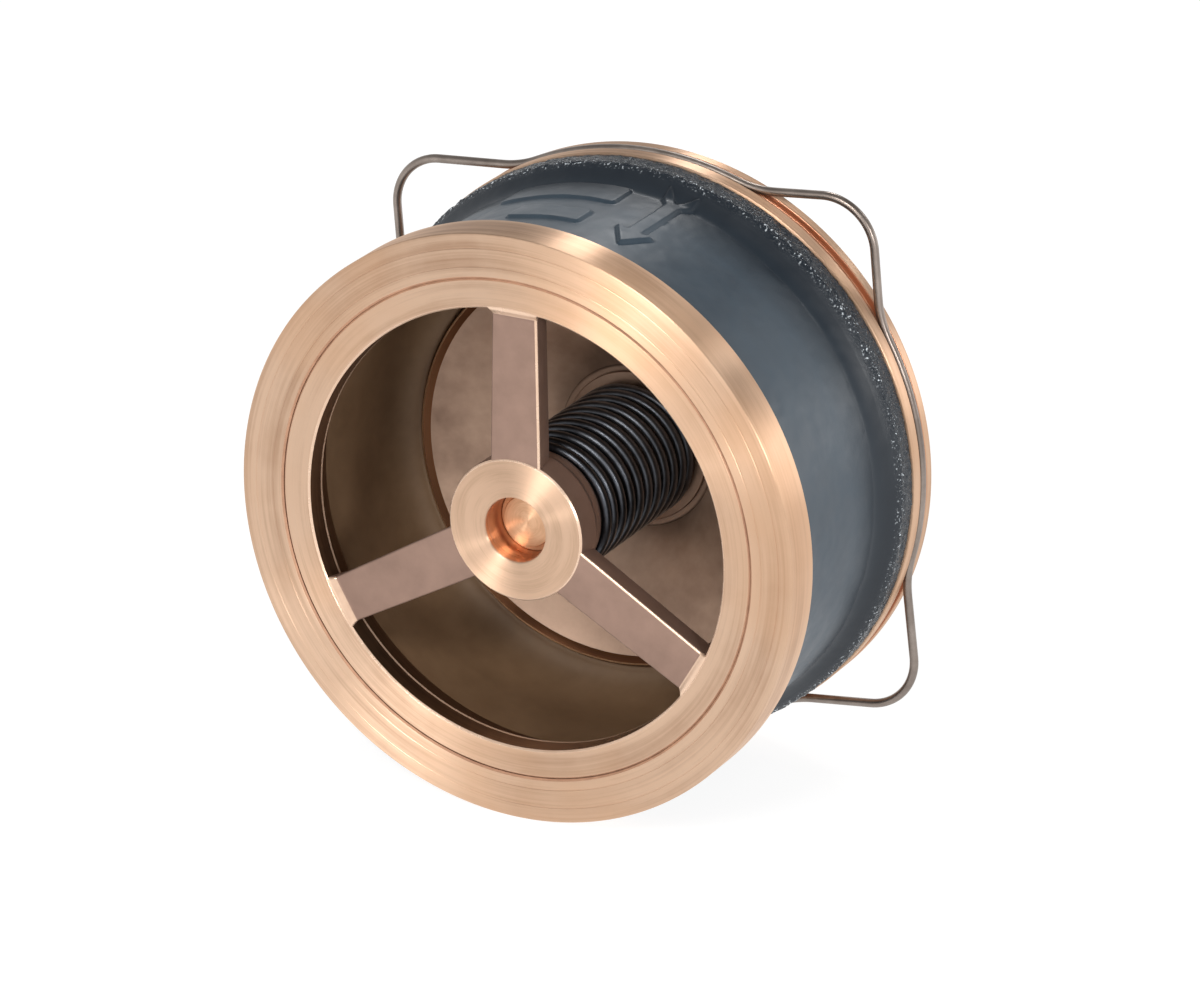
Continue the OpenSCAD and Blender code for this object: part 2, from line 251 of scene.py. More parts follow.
def loft_faces(rows, per):
    """The side faces between rows of per points each, then the two end faces."""
    faces = []
    for i in range(rows - 1):
        for j in range(per):
            k = (j + 1) % per
            faces.append((i * per + j, i * per + k, (i + 1) * per + k, (i + 1) * per + j))
    faces.append(tuple(range(per)))
    faces.append(tuple((rows - 1) * per + j for j in range(per)))
    return faces


def tube(name, points, frames, radius, body, mat, replaces, sides=18):
    """A round wire through points in metres, each with the pair of directions that spans its section."""
    verts = []
    for p, (u, w) in zip(points, frames):
        for j in range(sides):
            b = 2 * math.pi * j / sides
            verts.append([p[c] + radius * (math.cos(b) * u[c] + math.sin(b) * w[c]) for c in range(3)])
    faces = loft_faces(len(points), sides)
    return finish_mesh(name, verts, faces, body, [mat], [0] * len(faces), 50.0, replaces)


# ---------------------------------------------------------------- material helpers
def col(c):
    """RGBA of a grey value or an RGB colour."""
    if isinstance(c, (int, float)):
        return (c, c, c, 1.0)
    return tuple(c) + (1.0,)


def srgb(*rgb):
    """Linear colour of an sRGB colour in 0 to 255."""
    parts = [v / 255 for v in rgb]
    return tuple(v / 12.92 if v <= 0.04045 else ((v + 0.055) / 1.055) ** 2.4 for v in parts)


class Nodes:
    """Short names for building a node tree."""

    def __init__(self, nt):
        self.nt = nt

    def link(self, a, b):
        self.nt.links.new(a, b)

    def put(self, socket, value):
        if isinstance(value, bpy.types.NodeSocket):
            self.link(value, socket)
        else:
            socket.default_value = value

    def pos(self):
        return self.nt.nodes.new("ShaderNodeTexCoord").outputs["Object"]

    def split(self, v):
        n = self.nt.nodes.new("ShaderNodeSeparateXYZ")
        self.link(v, n.inputs[0])
        return n.outputs

    def join(self, x, y, z):
        n = self.nt.nodes.new("ShaderNodeCombineXYZ")
        for i, v in enumerate((x, y, z)):
            self.put(n.inputs[i], v)
        return n.outputs[0]

    def math(self, op, a, b=None):
        n = self.nt.nodes.new("ShaderNodeMath")
        n.operation = op
        self.put(n.inputs[0], a)
        if b is not None:
            self.put(n.inputs[1], b)
        return n.outputs[0]

    def add(self, a, b):
        return self.math("ADD", a, b)

    def mul(self, a, b):
        return self.math("MULTIPLY", a, b)

    def blend(self, a, share_a, b, share_b):
        """The sum of two values, each times its share."""
        return self.add(self.mul(a, share_a), self.mul(b, share_b))

    def noise(self, v, scale, detail=3.0, rough=0.5):
        n = self.nt.nodes.new("ShaderNodeTexNoise")
        n.inputs["Scale"].default_value = scale
        n.inputs["Detail"].default_value = detail
        n.inputs["Roughness"].default_value = rough
        self.link(v, n.inputs["Vector"])
        return n.outputs[0]

    def ramp(self, v, *stops):
        n = self.nt.nodes.new("ShaderNodeValToRGB")
        e = n.color_ramp.elements
        while len(e) > 1:
            e.remove(e[0])
        e[0].position = stops[0][0]
        e[0].color = col(stops[0][1])
        for p, c in stops[1:]:
            k = e.new(p)
            k.color = col(c)
        self.link(v, n.inputs[0])
        return n.outputs[0]

    def mix(self, f, a, b):
        n = self.nt.nodes.new("ShaderNodeMix")
        n.data_type = "RGBA"
        self.link(f, n.inputs[0])
        self.link(a, n.inputs[6])
        n.inputs[7].default_value = col(b)
        return n.outputs[2]

    def span(self, v, a, b, c=0.0, d=1.0):
        """v taken from the range a to b to the range c to d, and held there."""
        n = self.nt.nodes.new("ShaderNodeMapRange")
        for i, value in enumerate((a, b, c, d)):
            n.inputs[i + 1].default_value = value
        self.link(v, n.inputs[0])
        return n.outputs[0]

    def bump(self, h, strength, distance):
        n = self.nt.nodes.new("ShaderNodeBump")
        n.inputs["Strength"].default_value = strength
        n.inputs["Distance"].default_value = distance
        self.link(h, n.inputs["Height"])
        return n.outputs[0]


def material(name):
    """A new material: itself, its shader, and the builder of its nodes."""
    m = bpy.data.materials.new(name)
    m.use_nodes = True
    nt = m.node_tree
    nt.nodes.clear()
    out = nt.nodes.new("ShaderNodeOutputMaterial")
    bsdf = nt.nodes.new("ShaderNodeBsdfPrincipled")
    nt.links.new(bsdf.outputs[0], out.inputs[0])
    return m, bsdf.inputs, Nodes(nt)


def turned_metal(name, light, dark, rough, aniso, lines, bump, warm=None):
    """Machined metal: fine turning marks round the flow axis, on flat faces, cones and rims alike."""
    m, shader, n = material(name)
    p = n.pos()
    x, y, z = n.split(p)[:3]
    r = n.math("SQRT", n.add(n.mul(x, x), n.mul(z, z)))
    along = n.math("SUBTRACT", r, y)
    safe_r = n.math("MAXIMUM", r, 0.0005)
    ux, uz = n.math("DIVIDE", x, safe_r), n.math("DIVIDE", z, safe_r)

    def marks(per_m, round_scale, rough_):
        at = n.join(n.mul(along, per_m), n.mul(ux, round_scale), n.mul(uz, round_scale))
        return n.noise(at, 1.0, 3.0, rough_)

    fine = marks(lines, 1.4, 0.6)
    band = marks(lines * 0.13, 0.5, 0.55)
    blotch = n.noise(p, 22.0, 4.0, 0.6)
    tone = n.add(n.mul(band, 0.5), n.blend(fine, 0.28, blotch, 0.28))
    bright = tuple(min(1, v * 1.08) for v in light)
    c = n.ramp(tone, (0.36, dark), (0.56, light), (0.75, bright))
    if warm is not None:
        c = n.mix(n.span(n.noise(p, 9.0, 3.0, 0.6), 0.45, 0.72, 0.0, 0.55), c, warm)
    n.link(c, shader["Base Color"])
    shader["Metallic"].default_value = 1.0
    n.link(n.span(n.blend(fine, 0.6, blotch, 0.4), 0.3, 0.7, rough - 0.07, rough + 0.09), shader["Roughness"])
    shader["Anisotropic"].default_value = aniso
    shader["Anisotropic Rotation"].default_value = 0.25
    tangent = n.nt.nodes.new("ShaderNodeTangent")
    tangent.direction_type = "RADIAL"
    tangent.axis = "Y"
    n.link(tangent.outputs[0], shader["Tangent"])
    n.link(n.bump(n.blend(fine, 0.7, band, 0.6), bump, 0.00006), shader["Normal"])
    return m


def cast_metal(name, light, dark, rough, metal, grain, scale):
    """As-cast metal: pitted skin, blotches of oxide, broad tone changes."""
    m, shader, n = material(name)
    p = n.pos()
    big = n.noise(p, 28.0, 4.0, 0.6)
    mid = n.noise(p, scale * 0.5, 4.0, 0.6)
    fine = n.noise(p, scale * 3.0, 3.0, 0.55)
    n.link(n.ramp(n.blend(big, 0.62, mid, 0.38), (0.34, dark), (0.62, light)), shader["Base Color"])
    shader["Metallic"].default_value = metal
    n.link(n.span(n.blend(big, 0.5, mid, 0.5), 0.3, 0.7, rough - 0.1, rough + 0.12), shader["Roughness"])
    n.link(n.bump(n.blend(mid, 1.0, fine, 0.35), 0.35, grain), shader["Normal"])
    return m


def drawn_wire(name, light, dark, rough, metal, bump):
    """Drawn steel wire: smooth, with slow tone changes and, with a bump, a faint skin."""
    m, shader, n = material(name)
    p = n.pos()
    big = n.noise(p, 40.0, 4.0, 0.6)
    fine = n.noise(p, 260.0, 3.0, 0.6)
    n.link(n.ramp(n.blend(big, 0.75, fine, 0.25), (0.35, dark), (0.64, light)), shader["Base Color"])
    shader["Metallic"].default_value = metal
    n.link(n.span(big, 0.3, 0.7, rough - 0.05, rough + 0.07), shader["Roughness"])
    if bump > 0:
        n.link(n.bump(fine, bump, 0.00008), shader["Normal"])
    return m


def paint():
    """Dark slate paint: satin on the waist, glossier and rough over the cast bead. Painted shade darkens it from
    the waist over the fillet and bead, and painted glints speck the bead's crest.
    """
    m, shader, n = material("casting_paint")
    p = n.pos()
    s = n.mul(n.split(p)[1], -1000.0)
    big = n.noise(p, 16.0, 4.0, 0.6)
    mid = n.noise(p, 90.0, 4.0, 0.6)
    fine = n.noise(p, 1100.0, 4.0, 0.65)
    c = n.ramp(n.blend(big, 0.6, mid, 0.4), (0.34, srgb(38, 52, 64)), (0.62, srgb(50, 65, 77)))
    # painted shade: the paint is mixed towards near-black from the waist down over the fillet and the bead
    c = n.mix(n.span(s, BEAD_END + 34.0, BEAD_END + 6.0, 0.0, 0.92), c, srgb(10, 20, 30))
    # painted highlights: pale specks along the bead's crest stand in for glints of the lamps on the rough paint
    crest = n.mul(n.span(s, BEAD_END - 4.0, BEAD_END, 0.1, 1.0), n.span(s, BEAD_END + 3.5, BEAD_END + 1.2))
    painted_glints = n.mul(crest, n.span(n.noise(p, 820.0, 2.0), 0.61, 0.68))
    painted_glints = n.mul(painted_glints, n.span(n.noise(p, 45.0, 2.0), 0.3, 0.45, 0.15, 1.0))
    n.link(n.mix(painted_glints, c, srgb(214, 222, 228)), shader["Base Color"])
    shader["Metallic"].default_value = 0.0
    shader["Specular IOR Level"].default_value = 0.5
    bead = n.span(s, BEAD_END + 5.0, BEAD_END - 1.0)
    n.link(n.math("SUBTRACT", n.span(mid, 0.3, 0.7, 0.36, 0.46), n.mul(bead, 0.2)), shader["Roughness"])
    skin = n.add(n.mul(mid, 0.3), n.mul(fine, n.add(n.mul(bead, 2.4), 0.04)))
    n.link(n.bump(skin, 0.5, 0.0006), shader["Normal"])
    return m


def iron_wall():
    """The bare wall of the cavity, under a brown film."""
    m, shader, n = material("casting_inside")
    p = n.pos()
    big = n.noise(p, 24.0, 4.0, 0.6)
    mid = n.noise(p, 160.0, 4.0, 0.6)
    c = n.ramp(n.blend(big, 0.6, mid, 0.4), (0.34, srgb(112, 86, 61)), (0.64, srgb(126, 99, 73)))
    n.link(c, shader["Base Color"])
    shader["Metallic"].default_value = 0.15
    n.link(n.span(mid, 0.3, 0.7, 0.5, 0.62), shader["Roughness"])
    n.link(n.bump(mid, 0.2, 0.00015), shader["Normal"])
    return m


def gasket_rubber():
    m, shader, n = material("gasket")
    fine = n.noise(n.pos(), 500.0, 3.0, 0.6)
    n.link(n.ramp(fine, (0.3, 0.018), (0.7, 0.04)), shader["Base Color"])
    shader["Roughness"].default_value = 0.7
    n.link(n.bump(fine, 0.3, 0.0002), shader["Normal"])
    return m


# ---------------------------------------------------------------- materials: light tone, then dark tone
bronze_face = turned_metal(
    "machined_bronze", srgb(222, 189, 162), srgb(174, 138, 112),
    rough=0.4, aniso=0.95, lines=800, bump=0.14, warm=srgb(212, 164, 124))
bronze_hub = turned_metal(
    "machined_bronze_hub", srgb(222, 187, 159), srgb(194, 160, 132),
    rough=0.42, aniso=0.95, lines=1500, bump=0.1)
bronze_bore = turned_metal(
    "bored_bronze", srgb(216, 178, 142), srgb(184, 142, 108),
    rough=0.34, aniso=0.5, lines=900, bump=0.2)
# painted shade: a darker copy of the bored bronze, for bore walls that face into the dark cavity
bore_painted_shade = turned_metal(
    "bored_bronze_painted_shade", srgb(124, 98, 76), srgb(92, 70, 52),
    rough=0.36, aniso=0.4, lines=900, bump=0.2)
bronze_dark = cast_metal(
    "cast_bronze", srgb(150, 122, 108), srgb(134, 108, 95),
    rough=0.42, metal=0.6, grain=0.00006, scale=260)
bronze_disc = cast_metal(
    "disc_bronze", srgb(196, 165, 143), srgb(164, 135, 116),
    rough=0.36, metal=0.75, grain=0.00008, scale=200)
bronze_plate = cast_metal(
    "plate_bronze", srgb(138, 112, 94), srgb(114, 91, 76),
    rough=0.4, metal=0.7, grain=0.00005, scale=260)
bronze_copper = turned_metal(
    "bush_bronze", srgb(212, 164, 134), srgb(182, 132, 104),
    rough=0.32, aniso=0.4, lines=1200, bump=0.2)
bronze_stem = turned_metal(
    "stem_bronze", srgb(228, 184, 148), srgb(196, 148, 112),
    rough=0.36, aniso=0.9, lines=1600, bump=0.15)
# painted shade: a dark brown copy of the disc's bronze for the steep slope inside its rim
disc_slope_shade = turned_metal(
    "disc_slope_painted_shade", srgb(116, 78, 54), srgb(88, 57, 39),
    rough=0.36, aniso=0.4, lines=1200, bump=0.15)
steel_nut = turned_metal(
    "nut_steel", srgb(176, 176, 178), srgb(140, 140, 143),
    rough=0.35, aniso=0.3, lines=900, bump=0.15)
# painted highlight: a lighter bronze for edges and ramps that face the lamps; its lower roughness also catches
# real highlights
edge_highlight = cast_metal(
    "painted_edge_highlight", srgb(226, 196, 172), srgb(212, 178, 152),
    rough=0.24, metal=0.5, grain=0.00003, scale=300)
joint_dark = cast_metal(
    "joint_shadow", srgb(190, 148, 120), srgb(156, 116, 92),
    rough=0.55, metal=0.4, grain=0.00006, scale=400)
spring_mat = drawn_wire("spring_steel", srgb(96, 99, 105), srgb(62, 64, 69), 0.36, 1.0, 0.0)
wire_mat = drawn_wire("wire_steel", srgb(156, 145, 137), srgb(124, 113, 106), 0.33, 0.95, 0.1)
paint_mat, wall_mat, gasket_mat = paint(), iron_wall(), gasket_rubber()


# ---------------------------------------------------------------- body casting
def smooth(t):
    t = np.clip(t, 0, 1)
    return t * t * (3 - 2 * t)


def outer_radius(s):
    """Outside of the casting at distance s from the inlet face: bead, hollow fillet, waist, rounded lip."""
    t = np.clip((s - BEAD_END) / BEAD_FILLET, 0, 1)
    r = WAIST_R + (BEAD_R - WAIST_R) * (1 - t) ** 2 * (1 + 1.2 * t)
    u = np.clip((s - (OUTLET_S - LIP)) / LIP, 0, 1)
    r = r + np.where(s > OUTLET_S - LIP, 0.4 * smooth(u * 4) - 2.6 * (1 - np.cos(np.pi / 2 * u)), 0.0)
    edge = np.clip((s - INLET_W) / 1.6, 0, 1)
    return r - 1.2 * (1 - np.sqrt(1 - (1 - edge) ** 2))


def poly_distance(px, py, poly):
    """Signed distance to a closed polygon, negative inside, for arrays of points."""
    d = np.full(px.shape, 1e9)
    inside = np.zeros(px.shape, bool)
    n = len(poly)
    for i in range(n):
        ax, ay = poly[i]
        bx, by = poly[(i + 1) % n]
        ex, ey = bx - ax, by - ay
        t = np.clip(((px - ax) * ex + (py - ay) * ey) / (ex * ex + ey * ey), 0, 1)
        d = np.minimum(d, np.hypot(px - ax - t * ex, py - ay - t * ey))
        cross = (ay > py) != (by > py)
        with np.errstate(divide="ignore", invalid="ignore"):
            hit = px < (bx - ax) * (py - ay) / (by - ay) + ax
        inside ^= cross & hit
    return np.where(inside, -d, d)


def pad_distance(px, py, width, height, corner=2.5):
    """Signed distance to a rectangle with rounded corners about the origin."""
    qx = np.abs(px) - (width / 2 - corner)
    qy = np.abs(py) - (height / 2 - corner)
    return np.hypot(np.maximum(qx, 0), np.maximum(qy, 0)) + np.minimum(np.maximum(qx, qy), 0) - corner


def noise_field(verts, scale, seed):
    off = Vector((seed * 3.17, seed * 1.31, seed * 7.7))
    return np.array([noise.noise(Vector(v) * scale + off) for v in verts])


ARROW = [
    (0, 30), (9, 15), (3.8, 15), (3.8, -21), (7, -25), (7, -31),
    (0, -24), (-7, -31), (-7, -25), (-3.8, -21), (-3.8, 15), (-9, 15),
]
ARROW_AT = (77, 65)  # angle and distance from the inlet face
PADS = ((100, 49, 58, 19), (96, 80, 36, 16))  # angle, distance, width round the waist, height


def raised_marks(S, A):
    """Height of the raised flow arrow and blank pads at distances S and angles A."""

    def wrap(angle):
        return ((np.degrees(A) - angle + 180) % 360 - 180) * math.pi / 180 * WAIST_R

    def step(d, width):
        return smooth(0.5 - d / width)

    arrow = poly_distance(wrap(ARROW_AT[0]), S - ARROW_AT[1], ARROW)
    raised = 1.6 * step(arrow - 0.2, 1.1)
    for angle, s, width, height in PADS:
        raised = np.maximum(raised, 1.3 * step(pad_distance(wrap(angle), S - s, width, height), 1.2))
    return raised


def cast_skin(pts):
    """Moves points of the outside along the radius: soft waviness, lumps on the bead, a ragged crest."""
    unit = pts * MM
    s = -pts[:, 1]
    soft = noise_field(unit, 70.0, 1) * 0.22 + noise_field(unit, 190.0, 2) * 0.1
    lumps = noise_field(unit, 330.0, 3) * 0.5 + noise_field(unit, 820.0, 4) * 0.42 - 0.35
    ragged = noise_field(unit, 260.0, 5)
    bead = smooth((BEAD_END + 1.6 + ragged * 2.6 - s) / 2.2) * smooth((s - INLET_W) / 1.2)
    edge_fade = smooth((s - INLET_W) / 0.8) * smooth((OUTLET_S - s) / 1.5)
    crest = np.exp(-((s - BEAD_END - 1.0) / 1.6) ** 2) * noise_field(unit, 620.0, 6) * 0.5
    rad = np.hypot(pts[:, 0], pts[:, 2])
    lift = np.minimum((soft + bead * lumps + crest) * edge_fade, RING_R - 0.1 - rad)
    pts[:, 0] *= (rad + lift) / rad
    pts[:, 2] *= (rad + lift) / rad


def body_casting():
    segs, bead_rows, waist_rows = ((1024, 42, 92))
    fine_end = BEAD_END + 15
    rows = np.concatenate([
        np.linspace(INLET_W, fine_end, bead_rows),
        np.linspace(fine_end, OUTLET_S, waist_rows)[1:],
    ])
    a = np.arange(segs) * 2 * math.pi / segs
    S, A = np.meshgrid(rows, a, indexing="ij")
    R = outer_radius(S) + raised_marks(S, A)
    outside = np.stack([R * np.cos(A), -S, R * np.sin(A)], -1).reshape(-1, 3)
    cast_skin(outside)
    corner = []
    for i in range(CORNER_STEPS + 1):
        t = math.pi / 2 * i / CORNER_STEPS
        corner.append((
            FLOOR_R + (CAVITY_R - FLOOR_R) * math.cos(t), FLOOR_S + CORNER_S * (1 - math.sin(t)), 0, 1))
    inner = rounded([
        (RECESS_R, OUTLET_S, 0.3, 1), (RECESS_R, RECESS_END, 0.3, 1), (CAVITY_R, RECESS_END, 0.6, 1),
    ] + corner + [
        (NOSE_R + 0.3, FLOOR_S - 0.7, 0.3, 1), (NOSE_R + 0.3, SEAT_S - 8, 0.2, 1),
        (SPIGOT_R, SEAT_S - 8, 0.3, 1), (SPIGOT_R, SEAL_END, 0.2, 1),
        (SEAL_R, SEAL_END, 0.2, 1), (SEAL_R, INLET_W, 0.2, 0),
    ], 3)
    inside = [np.stack([r * np.cos(a), np.full(segs, -s), r * np.sin(a)], -1) for r, s, _ in inner]
    points = np.concatenate([outside] + inside) * MM
    total = len(rows) + len(inner)
    i = np.arange(total)[:, None] * segs
    j = ((np.arange(total)[:, None] + 1) % total) * segs
    k = np.arange(segs)[None, :]
    m = (k + 1) % segs
    faces = np.stack([i + k, i + m, j + m, j + k], -1).reshape(-1, 4)
    tags = np.repeat([0] * len(rows) + [1] * (len(inner) - 1) + [0], segs)
    return finish_mesh(
        "body_casting_detail", points.tolist(), faces.tolist(), "valve_body", [paint_mat, wall_mat],
        tags, 50.0, ("body_casting",))


casting = body_casting()

# ---------------------------------------------------------------- rings and gaskets
seat = lathe("seat_ring_detail", [
    (INLET_R, 0, 0.8, 0), (RING_R, 0, 0.9, 0),
    (RING_R, WIRE_S - GROOVE_HALF, 0.45, 2), (GROOVE_R, WIRE_S - GROOVE_HALF, 0.5, 2),
    (GROOVE_R, WIRE_S + GROOVE_HALF, 0.5, 2), (RING_R, WIRE_S + GROOVE_HALF, 0.45, 0),
    (RING_R, INLET_W, 0.5, 0), (SPIGOT_R, INLET_W, 0.1, 1), (SPIGOT_R, SEAT_S - 9, 0.6, 1),
    (NOSE_R, SEAT_S - 9, 0.2, 1), (NOSE_R, SEAT_S, 0.5, 1),
    (SEAT_R, SEAT_S, 0.4, 1), (SEAT_R, SEAT_S - 6, 1.5, 1), (INLET_R, 6, 1.5, 1),
], "valve_body", [bronze_face, bronze_bore, bronze_copper], 512, ("seat_ring",), steps=5)

# two shallow turned lines lie in the outlet face
# the bores and the recess inside this ring carry the darker bronze as painted shade
outlet = lathe("outlet_ring_detail", [
    (GUIDE_R, GUIDE_BACK, 0.1, 1), (GUIDE_R, LENGTH - SMALL_CHAMFER, 0.1, 2),
    (GUIDE_R + SMALL_CHAMFER, LENGTH, 0.25, 0),
    (120.9, LENGTH, 0.1, 0), (121.2, LENGTH - 0.2, 0.05, 0), (121.5, LENGTH, 0.1, 0),
    (129.3, LENGTH, 0.1, 0), (129.65, LENGTH - 0.2, 0.05, 0), (130.0, LENGTH, 0.1, 0),
    (RING_R, LENGTH, 0.7, 0), (RING_R, OUTLET_S, 0.8, 0),
    (RECESS_R, OUTLET_S, 0.1, 1), (RECESS_R, SPIGOT_END, 0.1, 1),
    (SPIGOT_BORE_R, SPIGOT_END, 0.8, 1), (SPIGOT_BORE_R, GUIDE_BACK, 0.2, 1),
], "valve_body", [bronze_face, bore_painted_shade, joint_dark], 512, ("outlet_ring",), steps=5)

seat_seal = lathe("seat_ring_gasket_detail", [
    (SPIGOT_R, INLET_W, 0.2), (SEAL_R, INLET_W, 0.2), (SEAL_R, SEAL_END, 0.2), (SPIGOT_R, SEAL_END, 0.2),
], "valve_body", [gasket_mat], 192, ("seat_ring_gasket",))
outlet_seal = lathe("outlet_ring_gasket_detail", [
    (CAVITY_R, RECESS_END, 0.2), (RECESS_R, RECESS_END, 0.2),
    (RECESS_R, SPIGOT_END, 0.2), (CAVITY_R, SPIGOT_END, 0.2),
], "valve_body", [gasket_mat], 192, ("outlet_ring_gasket",))


# ---------------------------------------------------------------- guide
CAST, MACHINED, SHADED_BORE, HUB_TURNED, COPPER, JOINT, EDGE_HIGHLIGHT = range(7)
GUIDE_MATS = [bronze_dark, bronze_face, bore_painted_shade, bronze_hub, bronze_copper, joint_dark, edge_highlight]
ARM_ROWS = [
    26.0, 38, 46, 58, 70, 82, 92, 97.5,
    98.8, 99.2, 99.9, 100.6, 101.3, 101.9, 102.25, 103.2,
]
ARM_HALF_HUB, ARM_HALF_RIM = 12.5, 11.2
ARM_FILLET = 4.0
FILLET_FROM, RAMP_FROM = 98.8, 99.0


def arm_section(r):
    """The arm's section at distance r from the axis: it widens and rises to the rim over the last 4 mm."""
    t = min(max((r - HUB_R) / (BORE_R - HUB_R), 0), 1)
    w = ARM_HALF_HUB + (ARM_HALF_RIM - ARM_HALF_HUB) * t
    u = min(max((r - FILLET_FROM) / ARM_FILLET, 0), 1)
    w += ARM_FILLET * (1 - math.sqrt(1 - u * u)) if r < 102.9 else ARM_FILLET
    front = ARM_FACE
    if r > RAMP_FROM:
        front = min(ARM_FACE + (r - RAMP_FROM) * 0.78, GUIDE_FRONT - 0.35)
    back = ARM_BACK if r < 101.5 else max(ARM_BACK, GUIDE_BACK + 0.2)
    wb = w - 2.2
    return rounded([(w, front, 1.15), (wb, back, 2.6), (-wb, back, 2.6), (-w, front, 1.15)], 5)


def arm_data(angle):
    """One arm as a lofted bar: cast, with a painted highlight on the edge of its lit side and on the ramp at the
    rim.
    """
    verts = []
    for r in ARM_ROWS:
        verts += [(r, x, s) for x, s, _ in arm_section(r)]
    per = len(verts) // len(ARM_ROWS)
    faces = loft_faces(len(ARM_ROWS), per)
    tags = []
    for a, b, _, _ in faces[:-2]:
        r, x, s = verts[a]
        at_front = min(s, verts[b][2]) > ARM_FACE - 0.9
        flat = abs(s - verts[b][2]) < 1e-6
        # the edges on the lit side of each arm, and the ramp at the rim, get the painted highlight
        lit = x * math.cos(math.radians(angle + 60)) > 3.0
        highlighted = at_front and (r >= RAMP_FROM or (lit and not flat))
        tags.append(EDGE_HIGHLIGHT if highlighted else CAST)
    tags += [CAST, CAST]
    c, s_ = math.cos(math.radians(angle)), math.sin(math.radians(angle))
    out = [((r * c - x * s_) * MM, -s * MM, (r * s_ + x * c) * MM) for r, x, s in verts]
    return out, faces, tags


def guide():
    # the bore edges of the rim and the outer chamfer of the hub carry the painted edge highlight
    rim = rounded([
        # the bore wall and back faces of the rim carry the darker bronze as painted shade
        (BORE_R, GUIDE_BACK + SMALL_CHAMFER, 0.2, EDGE_HIGHLIGHT), (BORE_R + SMALL_CHAMFER, GUIDE_BACK, 0.2, SHADED_BORE),
        (GUIDE_R, GUIDE_BACK, 0.3, SHADED_BORE), (GUIDE_R, GUIDE_FRONT - SMALL_CHAMFER, 0.1, JOINT),
        (GUIDE_R - SMALL_CHAMFER, GUIDE_FRONT, 0.25, MACHINED), (BORE_R + SMALL_CHAMFER, GUIDE_FRONT, 0.3, EDGE_HIGHLIGHT),
        (BORE_R, GUIDE_FRONT - SMALL_CHAMFER, 0.3, SHADED_BORE), (BORE_R, GUIDE_BACK + 2.2, 0.0, EDGE_HIGHLIGHT),
    ], 5)
    hub = rounded([
        (STEM_R + FIT, HUB_FACE, 0.9, HUB_TURNED), (HUB_R - SMALL_CHAMFER, HUB_FACE, 0.35, EDGE_HIGHLIGHT),
        (HUB_R, HUB_FACE - SMALL_CHAMFER, 0.35, CAST), (HUB_R, ARM_BACK, 1.5, CAST),
        (30.5, ARM_BACK - 5, 2.0, CAST), (SPRING_R - 2, HUB_BACK + 2, 0.6, CAST),
        (SPRING_R - 2.5, HUB_BACK, 0.3, CAST), (PILOT_R, HUB_BACK, 0.3, CAST),
        (PILOT_R, PILOT_END, 1.0, CAST), (BUSH_R, PILOT_END, 0.2, CAST),
        (BUSH_R, BUSH_END, 0.1, CAST), (STEM_R + FIT, BUSH_END, 0.1, COPPER),
    ], 5)
    parts = [lathe_data(rim, 384), lathe_data(hub, 192)] + [arm_data(angle) for angle in ARM_ANGLES]
    verts, faces, tags = merge(parts)
    return finish_mesh(
        "guide_spider_detail", verts, faces, "valve_body", GUIDE_MATS, tags, 32.0, ("guide_spider",))


spider = guide()

bush = lathe("guide_bush_detail", [
    (STEM_R + FIT, PILOT_END, 0.6), (BUSH_R, PILOT_END, 0.2),
    (BUSH_R, BUSH_END, 0.2), (STEM_R + FIT, BUSH_END, 0.1),
], "valve_body", [bronze_copper], 160, ("guide_bush",))

# ---------------------------------------------------------------- disc and stem
# the steep slope inside the disc's rim carries the dark brown as painted shade
disc = lathe("disc_detail", [
    (DISC_HOLE_R, PLATE_UNDER, 0.3, 0), (38, PLATE_UNDER, 5.0, 0), (86, DISC_UNDER - 3.5, 1.2, 0),
    (86.5, DISC_UNDER, 0.8, 0), (DISC_R, DISC_UNDER, 0.7, 1), (DISC_R, DISC_TOP, 0.4, 1),
    (95, DISC_TOP, 0.4, 2), (92.3, DISC_TOP - 2.3, 0.8, 0), (64, DISC_TOP - 14.6, 14.0, 0),
    (38, PLATE_TOP, 3.0, 3), (DISC_HOLE_R, PLATE_TOP, 0.3, 3),
], "disc_assembly", [bronze_disc, bronze_bore, disc_slope_shade, bronze_plate], 384, ("disc",), steps=8)

stem = cap_lathe("stem_detail", [
    (12, STEM_END, 0.5), (12, STEM_END - 3.5, 0.3), (STEM_R, STEM_END - 3.5, 0.6), (STEM_R, SHOULDER, 0.3),
    (THREAD_R, SHOULDER, 0.3), (THREAD_R, PLATE_UNDER - 7, 0.2), (THREAD_R - 1, PLATE_UNDER - 8, 0.2),
], "disc_assembly", [bronze_stem], 160, ("stem",))

plate = lathe("spring_plate_detail", [
    (DISC_HOLE_R, PLATE_TOP, 0.3), (PLATE_R, PLATE_TOP, 0.2), (PLATE_R, SHOULDER, 0.5),
    (PILOT_R, SHOULDER, 0.5), (PILOT_R, SHOULDER + 5, 1.0),
    (STEM_R + 1, SHOULDER + 5, 0.6), (STEM_R + 1, SHOULDER, 0.3), (DISC_HOLE_R, SHOULDER, 0.2),
], "disc_assembly", [bronze_plate], 192, ("spring_plate",))


